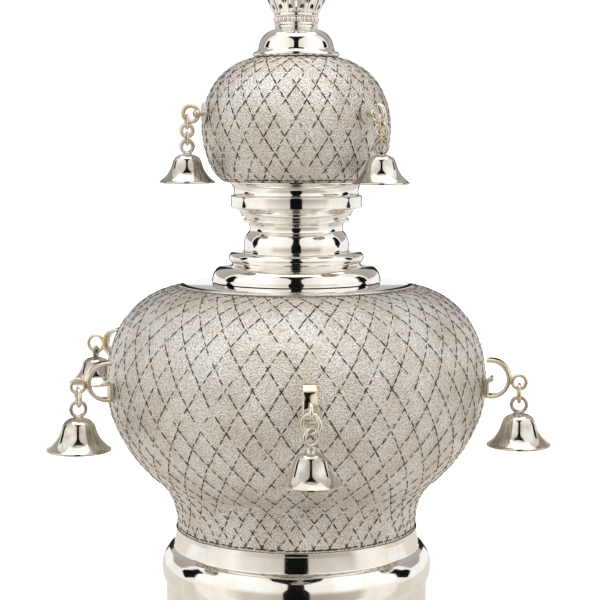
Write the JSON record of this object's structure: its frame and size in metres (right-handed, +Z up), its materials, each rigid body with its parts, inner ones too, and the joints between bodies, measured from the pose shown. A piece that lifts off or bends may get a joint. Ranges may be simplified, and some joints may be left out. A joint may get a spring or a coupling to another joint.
{
  "type": "torah crown",
  "caption": "Bulb-shaped silver torah crown: turned base, two matted bulbs with a punched lattice, turned neck, capped with a small openwork coronet, hung with bells",
  "frame": {"origin": "on the surface that the foot stands on, under the middle of the whole part's reach, bells included; the crown's own axis stands 2.1 mm to -X and 8.0 mm to +Y of it", "axes": "+Z up along the crown's axis, -Y towards the front, where one bell hangs nearly in the middle"},
  "size_m": [0.2448, 0.2358, 0.3293],
  "materials": {
    "polished_silver": "spun and polished silver, near mirror",
    "matted_silver": "silver matted with a fine punch, with a lattice of short dark punched strokes"
  },
  "bodies": {
    "root": {"base_ring": "polished_silver", "lower_bulb": "matted_silver", "shoulder_plate": "polished_silver", "neck": "polished_silver", "upper_bulb": "matted_silver", "cap": "polished_silver", "coronet": "polished_silver", "lower_hook_1": "polished_silver", "lower_link_1": "polished_silver", "lower_bell_1": "polished_silver", "lower_hook_2": "polished_silver", "lower_link_2": "polished_silver", "lower_bell_2": "polished_silver", "lower_hook_3": "polished_silver", "lower_link_3": "polished_silver", "lower_bell_3": "polished_silver", "lower_hook_4": "polished_silver", "lower_link_4": "polished_silver", "lower_bell_4": "polished_silver", "lower_hook_5": "polished_silver", "lower_link_5": "polished_silver", "lower_bell_5": "polished_silver", "side_hook": "polished_silver", "side_bell": "polished_silver", "upper_hook_1": "polished_silver", "upper_link_top_1": "polished_silver", "upper_ring_1": "polished_silver", "upper_link_low_1": "polished_silver", "upper_bell_1": "polished_silver", "upper_hook_2": "polished_silver", "upper_link_top_2": "polished_silver", "upper_ring_2": "polished_silver", "upper_link_low_2": "polished_silver", "upper_bell_2": "polished_silver", "upper_hook_3": "polished_silver", "upper_link_top_3": "polished_silver", "upper_ring_3": "polished_silver", "upper_link_low_3": "polished_silver", "upper_bell_3": "polished_silver"}
  },
  "joints": []
}
